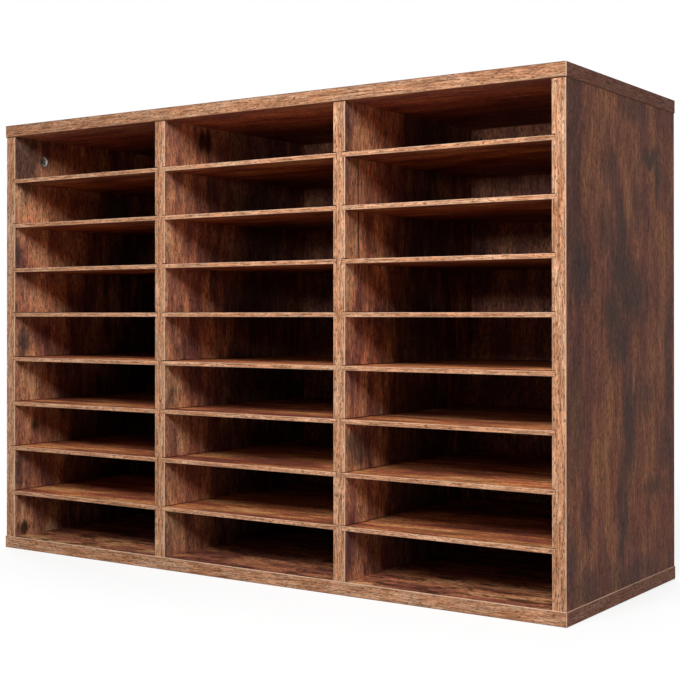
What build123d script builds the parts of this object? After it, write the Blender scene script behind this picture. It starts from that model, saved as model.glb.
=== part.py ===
"""Literature sorter: an open-front board cabinet with columns of thin removable shelves.

Millimetres. The origin is the middle of the footprint on the table. X runs to the right,
Y to the back and Z up.
"""
import os

from build123d import *

# Cabinet: overall size and layout
cabinet_width = 780.0
cabinet_depth = 305.0
cabinet_height = 550.0
board_thickness = 15.0
panel_overhang = 1.0  # top and bottom panel past the uprights, at the front and at both ends
row_count = 9
upright_names = ("left_side", "left_divider", "right_divider", "right_side")
column_names = ("left", "middle", "right")

# Edge bands glued to the boards
band_thickness = 1.0
band_arris = 0.9  # radius along the outer edges of a band
band_joint = 0.1  # hairline between a front strip and the strip round the corner

# Shelves and the grooves that carry them
shelf_thickness = 5.0
shelf_arris = 0.8
shelf_groove_play = 1.0  # dark slit above a shelf in its groove
shelf_groove_depth = 4.0
shelf_end_clearance = 0.4
shelf_rear_clearance = 0.5

# Back panels and their grooves
back_thickness = 3.0
back_groove_play = 0.2  # on each face of the panel
back_groove_depth = 5.0
back_edge_clearance = 0.5
back_rear_margin = 6.0  # board left behind the groove

# Cam locks, let into the uprights below the top panel
cam_diameter = 14.8
cam_bore_play = 0.1
cam_bore_floor = 2.5  # board left under the bore
cam_end_clearance = 0.5
cam_setback = 54.0  # from the cabinet's front and from its rear
cam_drop = 28.0  # from the underside of the top panel to the cam's centre
cam_rim = 1.0
cam_dish_depth = 2.6
cam_slot_length = 7.6
cam_slot_width = 1.7
cam_slot_depth = 3.2
cam_hook = 2.4  # wall of the cam that holds the bolt's head

# Cam bolts, driven into the top panel
bolt_thread_diameter = 5.0
bolt_thread_play = 0.1
bolt_collar_diameter = 7.4
bolt_collar_height = 1.5
bolt_shank_diameter = 6.0
bolt_neck_diameter = 4.0
bolt_head_diameter = 6.4
bolt_head_height = 3.0
bolt_bore_play = 0.3
bolt_cam_clearance = 0.4

# Dowels and the blind holes in the top and bottom panel
dowel_diameter = 8.0
dowel_length = 30.0
dowel_chamfer = 0.8
dowel_play = 0.1
dowel_end_clearance = 0.5
dowel_spacing = 32.0  # from a cam's centre, towards the middle of the cabinet
blind_hole_floor = 4.0

# Screws through the bottom panel, countersunk at 45 degrees
screw_length = 50.0
screw_head_diameter = 10.0
screw_head_recess = 0.6
screw_shank_diameter = 6.8
screw_thread_diameter = 5.0
screw_play = 0.1
screw_end_clearance = 0.5
screw_socket_width = 4.0
screw_socket_depth = 3.0

# Places that follow from the sizes
panel_left = -cabinet_width / 2
panel_right = cabinet_width / 2
panel_front = -cabinet_depth / 2
panel_rear = cabinet_depth / 2
upright_front = panel_front + panel_overhang
upright_bottom = board_thickness
upright_top = cabinet_height - board_thickness
row_pitch = (upright_top - upright_bottom) / row_count
inner_width = cabinet_width - 2 * panel_overhang - len(upright_names) * board_thickness
cell_width = inner_width / len(column_names)
shelf_groove_height = shelf_thickness + shelf_groove_play
back_groove_rear = panel_rear - back_rear_margin
back_groove_front = back_groove_rear - back_thickness - 2 * back_groove_play
back_front = back_groove_front + back_groove_play
back_rear = back_front + back_thickness
blind_hole_depth = board_thickness - blind_hole_floor
cam_height = upright_top - cam_drop
cam_bore_depth = board_thickness - cam_bore_floor
cam_depth = cam_bore_depth - cam_end_clearance
cam_radius = cam_diameter / 2
cam_dish_radius = ((cam_radius - cam_rim) ** 2 + cam_dish_depth**2) / (2 * cam_dish_depth)
bolt_bore_diameter = bolt_collar_diameter + 2 * bolt_bore_play
bolt_head_top = cam_height + cam_radius - cam_hook
front_and_rear_cams = (panel_front + cam_setback, panel_rear - cam_setback)
front_and_rear_dowels = (panel_front + cam_setback + dowel_spacing, panel_rear - cam_setback - dowel_spacing)

from_low_corner = (Align.MIN, Align.MIN, Align.MIN)
from_foot = (Align.CENTER, Align.CENTER, Align.MIN)


def upright_left(index):
    """X of an upright's left face, counted from the left side."""
    return panel_left + panel_overhang + index * (board_thickness + cell_width)


def upright_spots(index, depths):
    """Points on an upright's middle plane, at these places in the cabinet's depth."""
    return [(upright_left(index) + board_thickness / 2, y) for y in depths]


def all_upright_spots(depths):
    """The same points on every upright."""
    return [spot for index in range(len(upright_names)) for spot in upright_spots(index, depths)]


def shelf_floor(row):
    """Height of the groove's lower face, on which a shelf lies. Row 1 is the lowest shelf."""
    return upright_bottom + row * row_pitch - shelf_groove_height / 2


def groove_spans(index, groove_depth):
    """X spans of a groove in each face of an upright that looks into a column."""
    left = upright_left(index)
    right = left + board_thickness
    spans = []
    if index > 0:
        spans.append((left, left + groove_depth))
    if index < len(column_names):
        spans.append((right - groove_depth, right))
    return spans


def cam_seat(index, y):
    """Plane on the face that holds the cam, with its normal into the board and its X upwards.

    The left side takes its cams from the right, and every other upright from the left.
    """
    into_board = -1 if index == 0 else 1
    face = upright_left(index) + (board_thickness if index == 0 else 0)
    return Plane(origin=(face, y, cam_height), x_dir=(0, 0, 1), z_dir=(into_board, 0, 0))


def arris_within(radius, wall):
    """A rounding that its wall leaves room for."""
    return min(radius, 0.9 * wall)


def block(x_span, y_span, z_span, mode=Mode.ADD):
    """Add or cut a square block between three pairs of planes."""
    with Locations((x_span[0], y_span[0], z_span[0])):
        Box(
            x_span[1] - x_span[0],
            y_span[1] - y_span[0],
            z_span[1] - z_span[0],
            align=from_low_corner,
            mode=mode,
        )


def rods(spots, diameter, low, high, mode=Mode.ADD):
    """Add or cut upright round stock at each spot, between two heights."""
    with Locations([(x, y, low) for x, y in spots]):
        Cylinder(diameter / 2, high - low, align=from_foot, mode=mode)


def cut_shelf_grooves(index):
    """Grooves for the shelves, open at the front and run into the back panel's groove."""
    for x_span in groove_spans(index, shelf_groove_depth):
        for row in range(1, row_count):
            z_span = (shelf_floor(row), shelf_floor(row) + shelf_groove_height)
            block(x_span, (upright_front, back_groove_front), z_span, Mode.SUBTRACT)


def cut_panel_back_groove(z_span):
    """One groove along a panel for the back panels of all the columns."""
    left = upright_left(0) + board_thickness - back_groove_depth
    right = upright_left(len(column_names)) + back_groove_depth
    block((left, right), (back_groove_front, back_groove_rear), z_span, Mode.SUBTRACT)


def save(piece, name):
    """Label a finished piece and write it to its own file."""
    piece.part.label = name
    export_step(piece.part, f"parts/{name}.step")


os.makedirs("parts", exist_ok=True)

panel_core_x = (panel_left + band_thickness, panel_right - band_thickness)
panel_core_y = (panel_front + band_thickness, panel_rear)
bolt_hole_diameter = bolt_thread_diameter + 2 * bolt_thread_play
dowel_hole_diameter = dowel_diameter + 2 * dowel_play
cam_spots = all_upright_spots(front_and_rear_cams)
dowel_spots = all_upright_spots(front_and_rear_dowels)

# Top panel, with blind holes for the cam bolts and the dowels in its underside
with BuildPart() as top_panel:
    block(panel_core_x, panel_core_y, (upright_top, cabinet_height))
    cut_panel_back_groove((upright_top, upright_top + back_groove_depth))
    rods(cam_spots, bolt_hole_diameter, upright_top, upright_top + blind_hole_depth, Mode.SUBTRACT)
    rods(dowel_spots, dowel_hole_diameter, upright_top, upright_top + blind_hole_depth, Mode.SUBTRACT)
save(top_panel, "top_panel")

# Bottom panel, with countersunk holes from below for the screws
screw_hole_diameter = screw_shank_diameter + 2 * screw_play
screw_cone_height = (screw_head_diameter - screw_shank_diameter) / 2
with BuildPart() as bottom_panel:
    block(panel_core_x, panel_core_y, (0, board_thickness))
    cut_panel_back_groove((upright_bottom - back_groove_depth, upright_bottom))
    rods(dowel_spots, dowel_hole_diameter, upright_bottom - blind_hole_depth, upright_bottom, Mode.SUBTRACT)
    rods(cam_spots, screw_hole_diameter, 0, board_thickness, Mode.SUBTRACT)
    with Locations([(x, y, 0) for x, y in cam_spots]):
        Cone(
            screw_head_diameter / 2 + screw_head_recess + screw_play,
            screw_hole_diameter / 2,
            screw_cone_height + screw_head_recess,
            align=from_foot,
            mode=Mode.SUBTRACT,
        )
save(bottom_panel, "bottom_panel")

# Edge bands of the top and bottom panel: a strip on each end and one along the front
panel_arris = arris_within(band_arris, band_thickness)
for name, z_span in (
    ("top_panel_edge_band", (upright_top, cabinet_height)),
    ("bottom_panel_edge_band", (0, board_thickness)),
):
    end_strip_y = (panel_front + band_thickness + band_joint, panel_rear)
    with BuildPart() as panel_band:
        block((panel_left, panel_left + band_thickness), end_strip_y, z_span)
        block((panel_right - band_thickness, panel_right), end_strip_y, z_span)
        lengthwise = panel_band.edges().filter_by(Axis.Y).group_by(Axis.X)
        fillet(lengthwise[0] + lengthwise[-1], panel_arris)
        block((panel_left, panel_right), (panel_front, panel_front + band_thickness), z_span)
        fillet(panel_band.faces().sort_by(Axis.Y)[0].edges(), panel_arris)
    save(panel_band, name)

# Uprights: two sides and the dividers between them, each with its front edge band
screw_tip = screw_head_recess + screw_length
upright_dowel_depth = dowel_length - blind_hole_depth + 2 * dowel_end_clearance
for index, name in enumerate(upright_names):
    upright_x = (upright_left(index), upright_left(index) + board_thickness)
    upright_z = (upright_bottom, upright_top)
    joint_spots = upright_spots(index, front_and_rear_cams)
    peg_spots = upright_spots(index, front_and_rear_dowels)

    with BuildPart() as upright:
        block(upright_x, (upright_front + band_thickness, panel_rear), upright_z)
        cut_shelf_grooves(index)
        for x_span in groove_spans(index, back_groove_depth):
            block(x_span, (back_groove_front, back_groove_rear), upright_z, Mode.SUBTRACT)
        with Locations([cam_seat(index, y) for y in front_and_rear_cams]):
            Cylinder(cam_radius + cam_bore_play, cam_bore_depth, align=from_foot, mode=Mode.SUBTRACT)
        rods(joint_spots, bolt_bore_diameter, cam_height, upright_top, Mode.SUBTRACT)
        rods(
            joint_spots,
            screw_thread_diameter + 2 * screw_play,
            upright_bottom,
            screw_tip + screw_end_clearance,
            Mode.SUBTRACT,
        )
        rods(peg_spots, dowel_hole_diameter, upright_top - upright_dowel_depth, upright_top, Mode.SUBTRACT)
        rods(
            peg_spots,
            dowel_hole_diameter,
            upright_bottom,
            upright_bottom + upright_dowel_depth,
            Mode.SUBTRACT,
        )
    save(upright, f"{name}_panel")

    with BuildPart() as upright_band:
        block(upright_x, (upright_front, upright_front + band_thickness), upright_z)
        front_corners = upright_band.edges().filter_by(Axis.Z).group_by(Axis.Y)[0]
        fillet(front_corners, arris_within(band_arris, band_thickness))
        cut_shelf_grooves(index)
    save(upright_band, f"{name}_edge_band")

# Back panels, standing in the grooves, and the shelves of each column
for column, name in enumerate(column_names):
    cell_left = upright_left(column) + board_thickness
    cell_right = cell_left + cell_width

    back_reach = back_groove_depth - back_edge_clearance
    with BuildPart() as back_panel:
        block(
            (cell_left - back_reach, cell_right + back_reach),
            (back_front, back_rear),
            (upright_bottom - back_groove_depth, upright_top + back_reach),
        )
    save(back_panel, f"{name}_back_panel")

    shelf_reach = shelf_groove_depth - shelf_end_clearance
    for row in range(1, row_count):
        with BuildPart() as shelf:
            block(
                (cell_left - shelf_reach, cell_right + shelf_reach),
                (upright_front, back_front - shelf_rear_clearance),
                (shelf_floor(row), shelf_floor(row) + shelf_thickness),
            )
            front_edges = shelf.edges().filter_by(Axis.X).group_by(Axis.Y)[0]
            fillet(front_edges, arris_within(shelf_arris, shelf_thickness / 2))
        save(shelf, f"{name}_shelf_{row}")

# Cam locks: a disc with a round dish inside its rim and a cross slot, hollow where it hooks the bolt's head
cam_seats = [cam_seat(index, y) for index in range(len(upright_names)) for y in front_and_rear_cams]
cam_hollow_width = bolt_head_diameter + 2 * bolt_bore_play
cam_hollow_low = -cam_radius / 2
cam_hollow_high = cam_radius - cam_hook
hollow_seats = [seat.offset(board_thickness / 2) for seat in cam_seats]
dish_centres = [seat.offset(cam_dish_depth - cam_dish_radius) for seat in cam_seats]
with BuildPart() as cam_locks:
    with Locations(cam_seats):
        Cylinder(cam_radius, cam_depth, align=from_foot)
        Box(cam_slot_length, cam_slot_width, cam_slot_depth, align=from_foot, mode=Mode.SUBTRACT)
        Box(cam_slot_width, cam_slot_length, cam_slot_depth, align=from_foot, mode=Mode.SUBTRACT)
    with Locations(dish_centres):
        Sphere(cam_dish_radius, mode=Mode.SUBTRACT)
    with Locations([seat * Pos(X=cam_hollow_low) for seat in hollow_seats]):
        Box(
            cam_hollow_high - cam_hollow_low,
            cam_hollow_width,
            cam_hollow_width,
            align=(Align.MIN, Align.CENTER, Align.CENTER),
            mode=Mode.SUBTRACT,
        )
    with Locations(hollow_seats):
        Box(
            cam_diameter,
            bolt_neck_diameter + 2 * bolt_bore_play,
            bolt_neck_diameter + 2 * bolt_bore_play,
            align=(Align.MIN, Align.CENTER, Align.CENTER),
            mode=Mode.SUBTRACT,
        )
save(cam_locks, "cam_locks")

# Cam bolts: thread, collar under the top panel, shank, neck and head, from the top down
collar_low = upright_top - bolt_collar_height
shank_low = cam_height + cam_radius + bolt_cam_clearance
thread_high = upright_top + blind_hole_depth - dowel_end_clearance
with BuildPart() as cam_bolts:
    rods(cam_spots, bolt_thread_diameter, upright_top, thread_high)
    rods(cam_spots, bolt_collar_diameter, collar_low, upright_top)
    rods(cam_spots, bolt_shank_diameter, shank_low, collar_low)
    rods(cam_spots, bolt_neck_diameter, bolt_head_top, shank_low)
    rods(cam_spots, bolt_head_diameter, bolt_head_top - bolt_head_height, bolt_head_top)
save(cam_bolts, "cam_bolts")

# Dowels: half in an upright's end, half in the panel above or below it
dowel_in_panel = blind_hole_depth - dowel_end_clearance
with BuildPart() as dowels:
    for low in (upright_top + dowel_in_panel - dowel_length, upright_bottom - dowel_in_panel):
        rods(dowel_spots, dowel_diameter, low, low + dowel_length)
    chamfer(dowels.edges().filter_by(GeomType.CIRCLE), dowel_chamfer)
save(dowels, "dowels")

# Screws: countersunk head with a hexagon socket, shank in the bottom panel, thread in the upright
shank_foot = screw_head_recess + screw_cone_height
with BuildPart() as bottom_screws:
    with Locations([(x, y, screw_head_recess) for x, y in cam_spots]):
        Cone(screw_head_diameter / 2, screw_shank_diameter / 2, screw_cone_height, align=from_foot)
    rods(cam_spots, screw_shank_diameter, shank_foot, board_thickness)
    rods(cam_spots, screw_thread_diameter, board_thickness, screw_tip)
    with BuildSketch(Plane.XY.offset(screw_head_recess)):
        with Locations(cam_spots):
            RegularPolygon(screw_socket_width / 2, 6, major_radius=False)
    extrude(amount=screw_socket_depth, mode=Mode.SUBTRACT)
save(bottom_screws, "bottom_screws")
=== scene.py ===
# Looks of the literature sorter: printed boards, edge bands, fittings, studio floor, lamps and camera.
import math

import bpy
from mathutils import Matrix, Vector


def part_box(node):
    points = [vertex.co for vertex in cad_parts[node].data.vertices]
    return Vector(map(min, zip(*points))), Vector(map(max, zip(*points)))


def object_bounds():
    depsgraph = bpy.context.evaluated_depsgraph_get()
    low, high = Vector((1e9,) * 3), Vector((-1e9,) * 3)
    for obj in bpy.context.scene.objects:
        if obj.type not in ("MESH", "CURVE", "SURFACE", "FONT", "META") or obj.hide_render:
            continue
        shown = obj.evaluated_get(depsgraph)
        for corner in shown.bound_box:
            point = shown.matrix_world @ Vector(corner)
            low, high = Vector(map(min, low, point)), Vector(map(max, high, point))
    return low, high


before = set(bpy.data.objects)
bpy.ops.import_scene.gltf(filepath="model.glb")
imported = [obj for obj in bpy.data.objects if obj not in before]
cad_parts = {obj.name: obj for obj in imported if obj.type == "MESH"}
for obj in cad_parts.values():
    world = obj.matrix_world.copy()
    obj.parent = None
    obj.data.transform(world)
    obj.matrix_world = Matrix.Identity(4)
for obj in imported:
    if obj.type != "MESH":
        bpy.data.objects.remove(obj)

cad_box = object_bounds()

MM = 0.001
X, Y, Z = 0, 1, 2

# Places taken from the frame, in metres
cabinet_low, cabinet_high = cad_box
cabinet_middle = (cabinet_low + cabinet_high) / 2
side_low, side_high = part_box("left_side_panel")
divider_low, divider_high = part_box("left_divider_panel")
top_low, top_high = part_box("top_panel")
board_thickness = side_high.x - side_low.x
first_upright = (side_low.x + side_high.x) / 2
upright_pitch = divider_low.x - side_low.x
panel_rise = (top_low.z + top_high.z) / 2 - cabinet_middle.z
left_wall = side_high.x
left_divider_wall = divider_high.x
right_divider_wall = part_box("right_divider_panel")[1].x
right_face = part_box("right_side_panel")[1].x

print_paper = 0.3 * MM  # from a board's face to where its raw core shows
overhang_shade_line = 0.8 * MM  # painted shade line at the head of an upright's band, under the top panel's overhang


def linear(hex_colour):
    """The linear RGBA of an sRGB hex colour."""
    channels = [int(hex_colour[i:i + 2], 16) / 255 for i in (1, 3, 5)]
    return [c / 12.92 if c <= 0.04045 else ((c + 0.055) / 1.055) ** 2.4 for c in channels] + [1.0]


def add(tree, kind, inputs=None, output=0, stops=(), **settings):
    """Add a node and give one of its outputs. An input takes a value, or an output to link from."""
    node = tree.nodes.new("ShaderNode" + kind)
    for name, value in settings.items():
        setattr(node, name, value)
    for name, value in (inputs or {}).items():
        if isinstance(value, bpy.types.NodeSocket):
            tree.links.new(value, node.inputs[name])
        else:
            node.inputs[name].default_value = value
    if stops:
        elements = node.color_ramp.elements
        while len(elements) < len(stops):
            elements.new(1.0)
        for element, (position, colour) in zip(elements, stops):
            element.position = position
            element.color = linear(colour)
    return node.outputs[output]


colour_mix = {"output": "Result", "data_type": "RGBA"}  # how a Mix node is set to mix two colours


def new_finish(name):
    """A new material with its node tree and its surface shader."""
    material = bpy.data.materials.new(name)
    material.use_nodes = True
    return material, material.node_tree, material.node_tree.nodes["Principled BSDF"]


face_change = 4  # marks change this much faster through a board, so that its two faces differ


def marks(tree, place, along, size, shows, gives=(0.0, 1.0), through=None, detail=2.0, roughness=0.5):
    """Marks drawn out along the grain.

    size is a mark's width and length in millimetres, shows is the stretch of the noise that is used,
    and gives is what that stretch is turned into. through is the axis through a board.
    """
    scale = [1 / (size[0] * MM)] * 3
    scale[along] = 1 / (size[1] * MM)
    if through is not None:
        scale[through] *= face_change
    stretched = add(tree, "VectorMath", {0: place, 1: scale}, operation="MULTIPLY")
    noise = add(
        tree,
        "TexNoise",
        {"Vector": stretched, "Scale": 1.0, "Detail": detail, "Roughness": roughness},
        output="Fac",
    )
    return add(
        tree,
        "MapRange",
        {"Value": noise, "From Min": shows[0], "From Max": shows[1], "To Min": gives[0], "To Max": gives[1]},
        interpolation_type="SMOOTHSTEP",
    )


# Patches listed one by one, of print and of painted shade and light: how far they stray across and along the
# grain, how large a stray is, how softly close patches merge, and how ragged their rims are
stray_across = 18 * MM
stray_along = 40 * MM
stray_size = 38 * MM
patch_merge = 0.4
rim_raggedness = 0.9


def strayed(tree, place, along, through):
    """A place moved about on the face, so that round patches come out as wandering ones."""
    stray = [stray_across] * 3
    stray[along] = stray_along
    stray[through] = 0.0
    noise = add(tree, "TexNoise", {"Vector": place, "Scale": 1 / stray_size, "Detail": 3.0}, output="Color")
    about = add(tree, "VectorMath", {0: noise, 1: (0.5, 0.5, 0.5)}, operation="SUBTRACT")
    return add(tree, "VectorMath", {0: about, 1: stray, 2: place}, operation="MULTIPLY_ADD")


def nearest(tree, place, patches):
    """How far a place is from the nearest of some oval patches: 0 at a centre, 1 at the patch's reach.

    Patches that lie close together run into one.
    """
    closest = None
    for centre, reach in patches:
        per_reach = [1 / (r * MM) for r in reach]
        from_centre = [-c / r for c, r in zip(centre, reach)]
        scaled = add(tree, "VectorMath", {0: place, 1: per_reach, 2: from_centre}, operation="MULTIPLY_ADD")
        away = add(tree, "VectorMath", {0: scaled}, output="Value", operation="LENGTH")
        if closest:
            away = add(tree, "Math", {0: closest, 1: away, 2: patch_merge}, operation="SMOOTH_MIN")
        closest = away
    return closest


def patched(tree, colour, place, ragged, patches, over, covers, fades=(2.0, 0.7)):
    """A colour with oval patches of another laid over it, fading out at ragged rims.

    covers is how dense a patch is, and fades is where it ends and where it is whole, in its own reaches.
    """
    away = nearest(tree, place, patches)
    rim = add(tree, "Math", {0: ragged, 1: rim_raggedness, 2: away}, operation="MULTIPLY_ADD")
    share = add(
        tree,
        "MapRange",
        {"Value": rim, "From Min": fades[0], "From Max": fades[1], "To Max": covers},
        interpolation_type="SMOOTHSTEP",
    )
    return add(tree, "Mix", {"Factor": share, "A": colour, "B": over}, **colour_mix)


# The print's shades from its darkest to its lightest grain
upright_shades = [(0.0, "#764a45"), (0.35, "#a26850"), (0.65, "#bd805a"), (1.0, "#d5a174")]
side_shades = [(0.0, "#845149"), (0.35, "#9c6250"), (0.65, "#ad6f55"), (1.0, "#c08460")]
level_shades = [(0.0, "#7f4b41"), (0.35, "#ad6950"), (0.65, "#c6825b"), (1.0, "#dca475")]

# The print's other colours
charcoal = "#57413b"
pale_grain_and_light = "#dc9d70"
knot_brown = "#33231c"
flame_brown = "#472a1e"
spot_brown = "#553529"
pore_brown = "#432a20"

grain_sway = 14 * MM  # how far the grain swings from side to side

# Widths in millimetres. Such a print's fibres and pores are some tenths of a millimetre wide, and are drawn
# coarser here, because finer ones don't show in the render.
fibre_width = 1.6
pore_width = 1.4


def wood_print(
    tree,
    place,
    along,
    through,
    shades,
    pale=(),
    shadows=(),
    smudges=(),
    knots=(),
    light=1.0,
    contrast=1.0,
    smoky=(0.54, 0.70),
    spots=(4, 10, 0.62),
    flames=None,
    fine=6,
    saturation=1.0,
):
    """Rustic brown wood print on paper: its colour, and the fibre that its emboss follows.

    along is the grain's axis, and through is the axis through the board. pale, shadows, smudges and knots
    are patches listed one by one: paler print, partly painted light; thin charcoal; dense charcoal; and dark
    knots. The charcoal patches deep in the compartments are painted shade. light lifts the whole print, and
    on the compartments' walls it is painted light; contrast is that of its fine grain, and smoky is the
    stretch of the noise in which more charcoal comes up. spots and flames are dark marks: their width and
    length in millimetres, and how dense they are. fine is the fibre's length in millimetres.
    """
    # Swaying grain in broad tones, with finer streaks
    sway = [grain_sway] * 3
    sway[along] = 0.0
    sway[through] = 0.0
    drift = marks(tree, place, along, (80, 200), (0.0, 1.0), through=through, detail=1.0)
    grain = add(tree, "VectorMath", {0: drift, 1: sway, 2: place}, operation="MULTIPLY_ADD")
    tone = marks(tree, grain, along, (26, 100), (0.3, 0.7), through=through, detail=4.0, roughness=0.55)
    colour = add(tree, "ValToRGB", {"Fac": tone}, stops=shades)
    swing = ((1 - 0.34 * contrast) * light, (1 + 0.32 * contrast) * light)
    streak = marks(tree, grain, along, (3.6, 34), (0.3, 0.7), swing, through, detail=5.0, roughness=0.7)
    sheet = marks(tree, place, along, (180, 400), (0.35, 0.65), (0.85, 1.15), through, detail=1.0)
    streak = add(tree, "Math", {0: streak, 1: sheet}, operation="MULTIPLY")
    colour = add(tree, "HueSaturation", {"Color": colour, "Value": streak})

    # Charcoal that comes up by itself, then the listed patches of print, painted shade and painted light
    charcoal_and_shade = add(tree, "HueSaturation", {"Color": linear(charcoal), "Value": streak})
    smudge = marks(tree, grain, along, (34, 80), smoky, (0.0, 0.8), through, detail=5.0, roughness=0.65)
    colour = add(tree, "Mix", {"Factor": smudge, "A": colour, "B": charcoal_and_shade}, **colour_mix)
    ragged = marks(tree, grain, along, (9, 40), (0.2, 0.8), through=through, detail=5.0, roughness=0.65)
    if pale or shadows or smudges:
        wandering = strayed(tree, place, along, through)
    if pale:
        # Paler print, partly painted light
        paler_and_lit = add(tree, "HueSaturation", {"Color": linear(pale_grain_and_light), "Value": streak})
        colour = patched(tree, colour, wandering, ragged, pale, paler_and_lit, covers=0.85)
    if shadows:
        colour = patched(tree, colour, wandering, ragged, shadows, charcoal_and_shade, covers=0.65)
    if smudges:
        colour = patched(tree, colour, wandering, ragged, smudges, charcoal_and_shade, covers=0.92)
    if knots:
        knot = linear(knot_brown)
        colour = patched(tree, colour, place, ragged, knots, knot, covers=0.92, fades=(1.8, 0.8))

    # Dark flames and spots, then fibre and open pores over everything
    if flames:
        flame = marks(tree, grain, along, flames[:2], (0.49, 0.60), (0.0, flames[2]), through, 5.0, 0.7)
        colour = add(tree, "Mix", {"Factor": flame, "A": colour, "B": linear(flame_brown)}, **colour_mix)
    spot = marks(tree, grain, along, spots[:2], (0.50, 0.70), (0.0, spots[2]), through, 4.0, 0.65)
    colour = add(tree, "Mix", {"Factor": spot, "A": colour, "B": linear(spot_brown)}, **colour_mix)
    fibre = marks(tree, grain, along, (fibre_width, fine), (0.3, 0.7), (0.0, 1.0), through, 3.0, 0.6)
    depth = add(
        tree,
        "MapRange",
        {"Value": fibre, "To Min": 1 + 0.5 * contrast, "To Max": 1 - 0.44 * contrast},
    )
    colour = add(tree, "HueSaturation", {"Color": colour, "Value": depth, "Saturation": saturation})
    pore = marks(tree, grain, along, (pore_width, 0.75 * fine), (0.58, 0.66), (0.0, 0.8), through)
    colour = add(tree, "Mix", {"Factor": pore, "A": colour, "B": linear(pore_brown)}, **colour_mix)
    return colour, fibre


band_shades = [(0.0, "#cf916a"), (0.5, "#daa07a"), (1.0, "#e6b591")]
fleck_brown = "#6a3820"


def band_print(tree, place, along):
    """Edge print: lighter tan than the faces, with grain lines and short dark flecks along the strip.

    Its lines, specks and flecks are drawn coarser than real ones, which don't show in the render.
    """
    tone = marks(tree, place, along, (7, 40), (0.3, 0.7), detail=4.0, roughness=0.6)
    colour = add(tree, "ValToRGB", {"Fac": tone}, stops=band_shades)
    line = marks(tree, place, along, (1.3, 18), (0.3, 0.7), detail=2.0, roughness=0.6)
    depth = add(tree, "MapRange", {"Value": line, "To Min": 1.24, "To Max": 0.56})
    colour = add(tree, "HueSaturation", {"Color": colour, "Value": depth})
    speck = marks(tree, place, along, (1.1, 3), (0.3, 0.7), (1.12, 0.76))
    colour = add(tree, "HueSaturation", {"Color": colour, "Value": speck})
    fleck = marks(tree, place, along, (1.25, 5.5), (0.57, 0.64), (0.0, 0.8))
    dash = marks(tree, place, along, (1.3, 20), (0.62, 0.68), (0.0, 0.8))
    dark = add(tree, "Math", {0: fleck, 1: dash}, operation="MAXIMUM")
    colour = add(tree, "Mix", {"Factor": dark, "A": colour, "B": linear(fleck_brown)}, **colour_mix)
    return colour, line


flake_size = 2.6 * MM
core_shades = [(0.0, "#7a5535"), (0.35, "#a67f54"), (0.7, "#b8925f"), (1.0, "#cdaa7c")]


def particle_core(tree, place):
    """Raw particle board where a board was cut: flakes of light and dark wood pressed together."""
    flakes = add(tree, "TexVoronoi", {"Vector": place, "Scale": 1 / flake_size}, output="Color")
    return add(tree, "ValToRGB", {"Fac": flakes}, stops=core_shades)


emboss_depth = 0.15 * MM


def satin(tree, shader, colour, height, gleam=0.05):
    """Printed paper under melamine: satin, with an emboss too shallow to see but for its gleam."""
    emboss = add(tree, "Bump", {"Height": height, "Strength": 0.3, "Distance": emboss_depth})
    roughness = add(tree, "MapRange", {"Value": height, "To Min": 0.48, "To Max": 0.62})
    shader.inputs["Specular IOR Level"].default_value = gleam
    tree.links.new(colour, shader.inputs["Base Color"])
    tree.links.new(roughness, shader.inputs["Roughness"])
    tree.links.new(emboss, shader.inputs["Normal"])


# Patches that the photograph shows on the uprights' faces, in millimetres: from front to back, up, and the
# reach both ways
right_side_smudges = [
    (-8, 384, 17, 50), (-4, 346, 38, 32), (22, 322, 44, 28), (-26, 304, 28, 34), (-14, 276, 30, 28),
    (14, 190, 20, 58), (-6, 76, 15, 42), (-114, 346, 28, 28), (78, 478, 28, 11), (98, 455, 13, 24),
]
right_side_shadows = [
    (-140, 490, 26, 100), (-134, 380, 22, 70), (-132, 240, 24, 40), (-128, 190, 28, 50), (-138, 60, 24, 36),
    (36, 428, 16, 32), (-50, 398, 24, 32), (-36, 456, 24, 26), (58, 215, 30, 20), (122, 155, 20, 26),
    (88, 112, 36, 13), (-102, 105, 14, 26), (20, 20, 90, 22), (-100, 30, 44, 26), (25, 526, 34, 18),
    (0, 130, 18, 36), (134, 240, 12, 70),
]
# Smudges: charcoal print near the front, painted shade deep in the compartments
left_wall_smudges_and_shade = [
    (-136, 510, 38, 52), (-147, 385, 7, 22), (-150, 312, 6, 12), (-138, 268, 11, 18), (40, 450, 36, 36),
    (75, 385, 55, 40), (110, 315, 55, 45), (100, 240, 70, 50), (55, 160, 80, 60), (45, 60, 85, 60),
    (-145, 106, 7, 24),
]
# Pale patches: paler print, partly painted light on the upper walls
left_wall_pale_and_light = [(-58, 492, 46, 26), (-105, 440, 44, 20), (-100, 328, 40, 24)]
left_wall_knots = [(-134, 24, 12, 10), (-114, 157, 7, 9)]
# Streaks of print near the front, painted shade deep in the compartments
left_divider_smudges_and_shade = [
    (-56, 350, 8, 44), (-66, 455, 6, 26), (50, 410, 74, 56), (35, 320, 82, 60), (25, 220, 92, 60),
    (35, 120, 94, 70), (40, 30, 92, 50),
]
# Painted shade deep in the middle column's top two compartments
left_divider_shadows = [(15, 505, 100, 46), (10, 450, 90, 30)]
left_divider_knots = [(-74, 516, 17, 17)]
# Painted shade deep in the compartments, and one charcoal smudge of print near the front
right_divider_smudges_and_shade = [
    (50, 505, 80, 60), (25, 400, 92, 70), (10, 290, 98, 70), (10, 180, 100, 70), (10, 70, 100, 70),
    (-120, 155, 30, 22),
]
# Paler print, partly painted light
right_divider_pale_and_light = [(-112, 495, 34, 40)]
right_divider_cracks = [(-124, 415, 1.6, 70)]
patch_depth = 6  # reach into the board, so that a patch shows on one face only


def on_face(face, ovals):
    """The centres and the reaches of oval patches on an upright's face."""
    return [((face / MM, y, z), (patch_depth, y_reach, z_reach)) for y, z, y_reach, z_reach in ovals]


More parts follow.
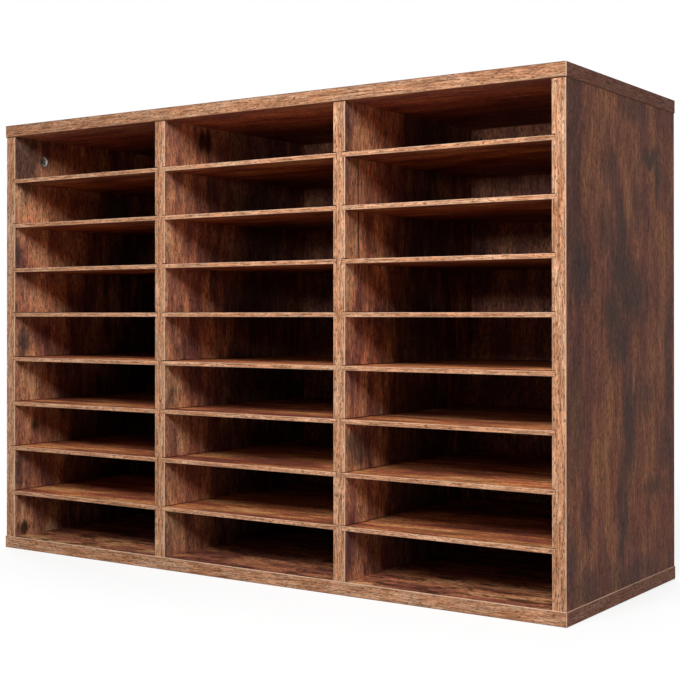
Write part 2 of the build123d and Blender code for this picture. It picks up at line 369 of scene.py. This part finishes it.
def faced(tree, place, off_middle, colour):
    """The print on a board's two faces, and raw particle board wherever it is cut deeper."""
    depth = add(tree, "Math", {0: off_middle}, operation="ABSOLUTE")
    face = add(tree, "Math", {0: depth, 1: board_thickness / 2 - print_paper}, operation="GREATER_THAN")
    core = particle_core(tree, place)
    return add(tree, "Mix", {"Factor": face, "A": core, "B": colour}, **colour_mix)


# The compartments' walls: print lifted 1.27 times as painted light, above the outer faces' print
lit_inner_wall = {"light": 1.27, "contrast": 0.85, "spots": (3.5, 20, 0.45), "fine": 8, "saturation": 0.95}
outer_side = {"contrast": 0.7, "spots": (4, 24, 0.5)}


def off_upright_middle(tree, place):
    """How far a place is, from left to right, from the middle of the upright that it is on."""
    across = add(tree, "SeparateXYZ", {0: place}, output=X)
    shifted = add(tree, "Math", {0: across, 1: first_upright - upright_pitch / 2}, operation="SUBTRACT")
    within_pitch = add(tree, "Math", {0: shifted, 1: upright_pitch}, operation="FLOORED_MODULO")
    return add(tree, "Math", {0: within_pitch, 1: upright_pitch / 2}, operation="SUBTRACT")


def divider_board():
    """Melamine-faced particle board with the print's grain upright, raw in its grooves and cut edges."""
    material, tree, shader = new_finish("melamine_board_divider")
    place = add(tree, "TexCoord", output="Object")
    smudges = on_face(left_divider_wall, left_divider_smudges_and_shade)
    smudges += on_face(right_divider_wall, right_divider_smudges_and_shade)
    knots = on_face(left_divider_wall, left_divider_knots)
    knots += on_face(right_divider_wall, right_divider_cracks)
    patches = {
        "pale": on_face(right_divider_wall, right_divider_pale_and_light),
        "shadows": on_face(left_divider_wall, left_divider_shadows),
        "smudges": smudges,
        "knots": knots,
    }
    # Walls lifted as painted light, with painted shade deep in the compartments
    colour, height = wood_print(tree, place, Z, X, upright_shades, **lit_inner_wall, **patches)
    satin(tree, shader, faced(tree, place, off_upright_middle(tree, place), colour), height)
    return material


def side_board(name, inner_marks, outer_marks):
    """The same board for a side: inner face lifted as painted light, a calmer stretch of print on the outer
    face.
    """
    material, tree, shader = new_finish(name)
    place = add(tree, "TexCoord", output="Object")
    across = add(tree, "SeparateXYZ", {0: place}, output=X)
    reach = add(tree, "Math", {0: across}, operation="ABSOLUTE")
    outer = add(tree, "Math", {0: reach, 1: right_face - print_paper}, operation="GREATER_THAN")
    inner_colour, inner_height = wood_print(tree, place, Z, X, upright_shades, **lit_inner_wall, **inner_marks)
    outer_colour, outer_height = wood_print(tree, place, Z, X, side_shades, **outer_side, **outer_marks)
    colour = add(tree, "Mix", {"Factor": outer, "A": inner_colour, "B": outer_colour}, **colour_mix)
    height = add(tree, "Mix", {"Factor": outer, "A": inner_height, "B": outer_height}, output="Result")
    satin(tree, shader, faced(tree, place, off_upright_middle(tree, place), colour), height)
    return material


def panel_board(name, shades, **pattern):
    """The same board with the grain from left to right, for the top and bottom panel."""
    material, tree, shader = new_finish(name)
    place = add(tree, "TexCoord", output="Object")
    colour, height = wood_print(tree, place, X, Z, shades, **pattern)
    up = add(tree, "SeparateXYZ", {0: place}, output=Z)
    from_middle = add(tree, "Math", {0: up, 1: cabinet_middle.z}, operation="SUBTRACT")
    rise = add(tree, "Math", {0: from_middle}, operation="ABSOLUTE")
    off_middle = add(tree, "Math", {0: rise, 1: panel_rise}, operation="SUBTRACT")
    satin(tree, shader, faced(tree, place, off_middle, colour), height)
    return material


shelf_corner_and_highlight = "#e0bb9d"
raw_fibre = "#7c5a3c"


def shelf_board():
    """Thin fibreboard: print on both faces with painted shade below, edge print in front, raw brown fibre
    elsewhere.
    """
    material, tree, shader = new_finish("printed_fibreboard_shelf")
    place = add(tree, "TexCoord", output="Object")
    normal = add(tree, "TexCoord", output="Normal")
    rearward = add(tree, "SeparateXYZ", {0: normal}, output=Y)
    upward = add(tree, "SeparateXYZ", {0: normal}, output=Z)
    level = add(tree, "Math", {0: upward}, operation="ABSOLUTE")
    colour, height = wood_print(
        tree,
        place,
        X,
        Z,
        level_shades,
        light=1.35,
        contrast=0.85,
        smoky=(0.60, 0.74),
        spots=(3.5, 26, 0.5),
        flames=(8, 60, 0.5),
        saturation=1.06,
    )
    # Painted shade: the face below is printed half as light
    painted_shade_below = add(tree, "Math", {0: upward, 1: -0.5}, operation="LESS_THAN")
    shade = add(tree, "MapRange", {"Value": painted_shade_below, "To Min": 1.0, "To Max": 0.5})
    colour = add(tree, "HueSaturation", {"Color": colour, "Value": shade})
    face = add(tree, "MapRange", {"Value": level, "From Min": 0.90, "From Max": 0.96})
    colour = add(tree, "Mix", {"Factor": face, "A": linear(raw_fibre), "B": colour}, **colour_mix)

    # The front edge is a little lighter than the boards' bands, and lighter still at its corners,
    # partly the cut edge's own colour and partly a painted highlight
    edge, _ = band_print(tree, place, X)
    edge = add(tree, "HueSaturation", {"Color": edge, "Value": 1.04})
    lit_corners = add(tree, "MapRange", {"Value": level, "From Min": 0.1, "From Max": 0.3, "To Max": 0.75})
    edge = add(tree, "Mix", {"Factor": lit_corners, "A": edge, "B": linear(shelf_corner_and_highlight)}, **colour_mix)
    front = add(tree, "MapRange", {"Value": rearward, "From Min": -0.2, "From Max": -0.4})
    colour = add(tree, "Mix", {"Factor": front, "A": colour, "B": edge}, **colour_mix)
    satin(tree, shader, colour, height)
    return material


clump_size = 3 * MM
hardboard_shades = [(0.3, "#6b4a31"), (0.7, "#9a7450")]


def back_board():
    """Hardboard back: print with upright grain on the front, plain brown pressed fibre behind."""
    material, tree, shader = new_finish("printed_hardboard_back")
    place = add(tree, "TexCoord", output="Object")
    normal = add(tree, "TexCoord", output="Normal")
    rearward = add(tree, "SeparateXYZ", {0: normal}, output=Y)
    colour, height = wood_print(tree, place, Z, Y, side_shades, light=1.3, contrast=0.8, saturation=0.96)
    clumps = add(tree, "TexNoise", {"Vector": place, "Scale": 1 / clump_size, "Detail": 3.0}, output="Fac")
    fibre = add(tree, "ValToRGB", {"Fac": clumps}, stops=hardboard_shades)
    front = add(tree, "MapRange", {"Value": rearward, "From Min": -0.2, "From Max": -0.4})
    colour = add(tree, "Mix", {"Factor": front, "A": fibre, "B": colour}, **colour_mix)
    satin(tree, shader, colour, height, gleam=0.10)
    return material


# Corner colour: partly the cut edge's own, partly a painted highlight
band_cut_edge_and_highlight = "#e6c6ab"
# Colour of the painted shade under the top panel's overhang
overhang_shade_brown = "#3b251b"


def edge_band(
    name,
    along,
    front_painted_shade="#ffffff",
    end_painted_shade="#ffffff",
    upper_corner_shade=band_cut_edge_and_highlight,
    lower_corner_shade=band_cut_edge_and_highlight,
):
    """Printed plastic band on a board's edge, with painted shade on a panel's front and on its ends.

    Its corners are lighter, partly the cut edge's own colour and partly a painted highlight,
    but level ones have painted shades of their own.
    """
    material, tree, shader = new_finish(name)
    place = add(tree, "TexCoord", output="Object")
    normal = add(tree, "TexCoord", output="Normal")
    facing = add(tree, "VectorMath", {0: normal}, operation="ABSOLUTE")
    parts = add(tree, "SeparateXYZ", {0: facing}).node.outputs
    if along == X:
        # On a panel's ends the strip runs from front to back
        own = add(tree, "SeparateXYZ", {0: place}).node.outputs
        turned = add(tree, "CombineXYZ", {X: own[Y], Y: own[X], Z: own[Z]})
        end = add(tree, "Math", {0: parts[X], 1: 0.7}, operation="GREATER_THAN")
        place = add(
            tree, "Mix", {"Factor": end, "A": place, "B": turned}, output="Result", data_type="VECTOR"
        )
    colour, height = band_print(tree, place, along)
    if along == X:
        # Painted shade: the front a little darker, the ends darker still
        painted_shades = {"A": linear(front_painted_shade), "B": linear(end_painted_shade)}
        painted_shade = add(tree, "Mix", {"Factor": end, **painted_shades}, **colour_mix)
        colour = add(
            tree, "Mix", {"Factor": 1.0, "A": colour, "B": painted_shade}, blend_type="MULTIPLY", **colour_mix
        )
    larger = add(tree, "Math", {0: parts[X], 1: parts[Y]}, operation="MAXIMUM")
    square = add(tree, "Math", {0: larger, 1: parts[Z]}, operation="MAXIMUM")
    corner = add(tree, "MapRange", {"Value": square, "From Min": 0.995, "From Max": 0.96, "To Max": 0.8})
    upward = add(tree, "SeparateXYZ", {0: normal}, output=Z)
    # Corners: painted highlight and cut edge; level ones painted darker as shade
    corner_paint = linear(band_cut_edge_and_highlight)
    for sign, shade in ((1.0, upper_corner_shade), (-1.0, lower_corner_shade)):
        turned_so = add(tree, "Math", {0: upward, 1: sign}, operation="MULTIPLY")
        level = add(tree, "Math", {0: turned_so, 1: 0.1}, operation="GREATER_THAN")
        corner_paint = add(tree, "Mix", {"Factor": level, "A": corner_paint, "B": linear(shade)}, **colour_mix)
    colour = add(tree, "Mix", {"Factor": corner, "A": colour, "B": corner_paint}, **colour_mix)
    if along == Z:
        # Painted shade under the top panel's overhang, at the head of an upright's band
        height_up = add(tree, "SeparateXYZ", {0: place}, output=Z)
        overhang_shade = add(tree, "Math", {0: height_up, 1: top_low.z - overhang_shade_line}, operation="GREATER_THAN")
        colour = add(tree, "Mix", {"Factor": overhang_shade, "A": colour, "B": linear(overhang_shade_brown)}, **colour_mix)
    satin(tree, shader, colour, height)
    return material


cast_grit = 0.8 * MM  # coarser than a real casting's, which doesn't show in the render


def die_cast_zinc():
    """Bare die-cast zinc: grey metal dulled by oxide, darker where it faces out, partly oxide and partly
    painted shade, and painted brighter as a highlight round its dish.

    The mould leaves a faint sandy skin. The oxide takes about half of the metal's shine.
    """
    material, tree, shader = new_finish("die_cast_zinc")
    place = add(tree, "TexCoord", output="Object")
    skin = add(tree, "TexNoise", {"Vector": place, "Scale": 1 / cast_grit, "Detail": 3.0}, output="Fac")
    # Lighter metal with a painted highlight on the dish's slopes, darker oxide with painted shade on the
    # flat faces
    metal_and_highlight = add(tree, "ValToRGB", {"Fac": skin}, stops=[(0.3, "#dcdbd6"), (0.7, "#efeee9")])
    oxide_and_shade = add(tree, "ValToRGB", {"Fac": skin}, stops=[(0.3, "#4a4946"), (0.7, "#605f5a")])
    normal = add(tree, "TexCoord", output="Normal")
    facing = add(tree, "VectorMath", {0: normal}, operation="ABSOLUTE")
    outward = add(tree, "SeparateXYZ", {0: facing}, output=X)
    flat = add(tree, "MapRange", {"Value": outward, "From Min": 0.80, "From Max": 0.92})
    grey = add(tree, "Mix", {"Factor": flat, "A": metal_and_highlight, "B": oxide_and_shade}, **colour_mix)
    rough = add(tree, "MapRange", {"Value": skin, "To Min": 0.38, "To Max": 0.55})
    shader.inputs["Metallic"].default_value = 0.5
    tree.links.new(grey, shader.inputs["Base Color"])
    tree.links.new(rough, shader.inputs["Roughness"])
    return material


def plated_steel():
    """Zinc-plated steel: brighter than the castings, with faint turning marks round the axis.

    The turning marks are drawn coarser than a real tool's, which are too fine to show.
    """
    material, tree, shader = new_finish("zinc_plated_steel")
    place = add(tree, "TexCoord", output="Object")
    turning = marks(tree, place, Z, (3, 0.6), (0.3, 0.7), detail=1.0)
    grey = add(tree, "ValToRGB", {"Fac": turning}, stops=[(0.0, "#a7a59c"), (1.0, "#c9c7bd")])
    rough = add(tree, "MapRange", {"Value": turning, "To Min": 0.25, "To Max": 0.42})
    shader.inputs["Metallic"].default_value = 1.0
    tree.links.new(grey, shader.inputs["Base Color"])
    tree.links.new(rough, shader.inputs["Roughness"])
    return material


def beech():
    """Turned beech dowel: pale pinkish wood with short dark flecks."""
    material, tree, shader = new_finish("turned_beech")
    place = add(tree, "TexCoord", output="Object")
    fleck = marks(tree, place, Z, (0.8, 4), (0.35, 0.7))
    wood = add(tree, "ValToRGB", {"Fac": fleck}, stops=[(0.0, "#c79b6c"), (1.0, "#9c6f45")])
    rough = add(tree, "MapRange", {"Value": fleck, "To Min": 0.55, "To Max": 0.7})
    tree.links.new(wood, shader.inputs["Base Color"])
    tree.links.new(rough, shader.inputs["Roughness"])
    return material


# Finishes on the frame's own nodes
left_side_print = side_board(
    "melamine_board_left_side",
    {
        "pale": on_face(left_wall, left_wall_pale_and_light),
        "smudges": on_face(left_wall, left_wall_smudges_and_shade),
        "knots": on_face(left_wall, left_wall_knots),
    },
    {"smoky": (0.56, 0.76)},
)
right_side_print = side_board(
    "melamine_board_right_side",
    {},
    {
        "shadows": on_face(right_face, right_side_shadows),
        "smudges": on_face(right_face, right_side_smudges),
        "smoky": (0.70, 0.85),
    },
)
divider_print = divider_board()
top_print = panel_board(
    "melamine_board_top",
    side_shades,
    contrast=0.8,
    smoky=(0.56, 0.76),
    spots=(4, 26, 0.5),
    flames=(9, 70, 0.35),
)
bottom_print = panel_board("melamine_board_bottom", level_shades, flames=(11, 30, 0.9))
shelf_print = shelf_board()
back_print = back_board()
upright_band = edge_band("printed_edge_band_upright", Z)
# Painted shade: a slightly darker front, much darker ends, a dark upper corner and a darker lower one
top_band = edge_band(
    "printed_edge_band_top",
    X,
    front_painted_shade="#e9e9e9",
    end_painted_shade="#c2b0bc",
    upper_corner_shade="#5a3a2b",
    lower_corner_shade="#a8795a",
)
# Painted shade: a barely darker front, darker ends and a darker lower corner
bottom_band = edge_band(
    "printed_edge_band_bottom",
    X,
    front_painted_shade="#f6f6f6",
    end_painted_shade="#e0d4e2",
    lower_corner_shade="#a06d4c",
)
zinc, steel, dowel_wood = die_cast_zinc(), plated_steel(), beech()

own_finishes = {
    "top_panel": top_print,
    "bottom_panel": bottom_print,
    "left_side_panel": left_side_print,
    "right_side_panel": right_side_print,
    "top_panel_edge_band": top_band,
    "bottom_panel_edge_band": bottom_band,
    "cam_locks": zinc,
    "cam_bolts": steel,
    "bottom_screws": steel,
    "dowels": dowel_wood,
}

for name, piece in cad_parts.items():
    if name in own_finishes:
        worn = own_finishes[name]
    elif name.endswith("_edge_band"):
        worn = upright_band
    elif name.endswith("_back_panel"):
        worn = back_print
    elif "_shelf_" in name:
        worn = shelf_print
    else:
        worn = divider_print
    piece.material_slots[0].material = worn

# Studio: a pale floor that runs out to white, and a white surround for what the camera sees
floor_reach = 8.0
floor_drop = 0.2 * MM  # below the cabinet's own face
floor_grey = "#a0a0a0"
floor_glow = 0.76
floor_fade = (0.9, 2.4)  # how far out the floor starts to turn white, and where it is all white
surround_fill = 0.02  # what the surround adds to the lamps' light


def seen(tree):
    """Whether a ray shows a background: straight to the camera, mirrored or through glass."""
    ray = add(tree, "LightPath").node.outputs
    direct = add(tree, "Math", {0: ray["Is Camera Ray"], 1: ray["Is Glossy Ray"]}, operation="MAXIMUM")
    return add(tree, "Math", {0: direct, 1: ray["Is Transmission Ray"]}, operation="MAXIMUM")


def floor_paint():
    """Matt pale paint that keeps the cabinet's shadow, and shows as plain white further off."""
    material, tree, _ = new_finish("studio_floor_paint")
    place = add(tree, "NewGeometry", output="Position")
    distance = add(tree, "VectorMath", {0: place}, output="Value", operation="LENGTH")
    shows = seen(tree)
    matt = add(tree, "BsdfDiffuse", {"Color": linear(floor_grey)})
    glow = add(tree, "Math", {0: shows, 1: floor_glow}, operation="MULTIPLY")
    lift = add(tree, "Emission", {"Strength": glow})
    near = add(tree, "AddShader", {0: matt, 1: lift})
    far = add(tree, "Emission", {"Strength": shows})
    fade = add(
        tree,
        "MapRange",
        {"Value": distance, "From Min": floor_fade[0], "From Max": floor_fade[1]},
        interpolation_type="SMOOTHSTEP",
    )
    surface = add(tree, "MixShader", {0: fade, 1: near, 2: far})
    tree.links.new(surface, tree.nodes["Material Output"].inputs["Surface"])
    return material


bpy.ops.mesh.primitive_plane_add(size=2 * floor_reach, location=(0, 0, -floor_drop))
floor = bpy.context.object
floor.name = "studio_floor"
floor.data.materials.append(floor_paint())

world = bpy.data.worlds.new("studio_surround")
bpy.context.scene.world = world
world.use_nodes = True
surround = world.node_tree.nodes["Background"]
surround_light = add(
    world.node_tree,
    "MapRange",
    {"Value": seen(world.node_tree), "To Min": surround_fill, "To Max": 1.0},
)
surround.inputs["Color"].default_value = linear("#ffffff")
world.node_tree.links.new(surround_light, surround.inputs["Strength"])


def softbox(name, place, aim, width, height, watts, beam=180.0):
    """A flat lamp at a place, turned to shine at another, with a grid that narrows its beam in degrees."""
    light = bpy.data.lights.new(name, "AREA")
    light.shape = "RECTANGLE"
    light.size = width
    light.size_y = height
    light.energy = watts
    light.spread = math.radians(beam)
    box = bpy.data.objects.new(name, light)
    bpy.context.scene.collection.objects.link(box)
    box.location = place
    box.rotation_euler = (Vector(place) - Vector(aim)).to_track_quat("Z", "Y").to_euler()
    box.visible_camera = False


# The key lamp lights the front from above, a weak low one reaches into the upper compartments, and two more
# light the faces that the photograph doesn't show
softbox(
    "key_softbox",
    place=(0.64, -1.64, 1.34),
    aim=(0.35, -0.15, -0.2),
    width=1.42,
    height=0.80,
    watts=39.0,
)
softbox(
    "low_softbox",
    place=(0.19, -1.25, 0.51),
    aim=(0.19, -0.15, 0.46),
    width=0.4,
    height=0.08,
    watts=0.17,
    beam=50.0,
)
softbox(
    "left_softbox",
    place=(-2.4, 1.0, 1.2),
    aim=(-0.39, 0.0, 0.28),
    width=1.2,
    height=1.2,
    watts=20.0,
)
softbox(
    "rear_softbox",
    place=(-0.45, 2.4, 1.7),
    aim=(0.0, 0.15, 0.35),
    width=1.4,
    height=1.2,
    watts=36.0,
)

# Camera at the photograph's viewing angle, with the frame's centre off the optical axis
frame_pixels = 680
focal_pixels = 1360.3
optical_centre = (260.2, 309.1)
camera_place = (0.9279, -1.3916, 0.3037)
camera_tilt = math.radians(90.0 + 0.226)  # 90 degrees looks level
camera_turn = math.radians(36.162)
camera_data = bpy.data.cameras.new("photo_camera")
camera_data.sensor_width = 36.0
camera_data.lens = focal_pixels / frame_pixels * camera_data.sensor_width
camera_data.shift_x = 0.5 - optical_centre[0] / frame_pixels
camera_data.shift_y = optical_centre[1] / frame_pixels - 0.5
camera = bpy.data.objects.new("photo_camera", camera_data)
bpy.context.scene.collection.objects.link(camera)
camera.location = camera_place
camera.rotation_euler = (camera_tilt, 0.0, camera_turn)
bpy.context.scene.camera = camera
bpy.context.scene.view_settings.view_transform = "Standard"
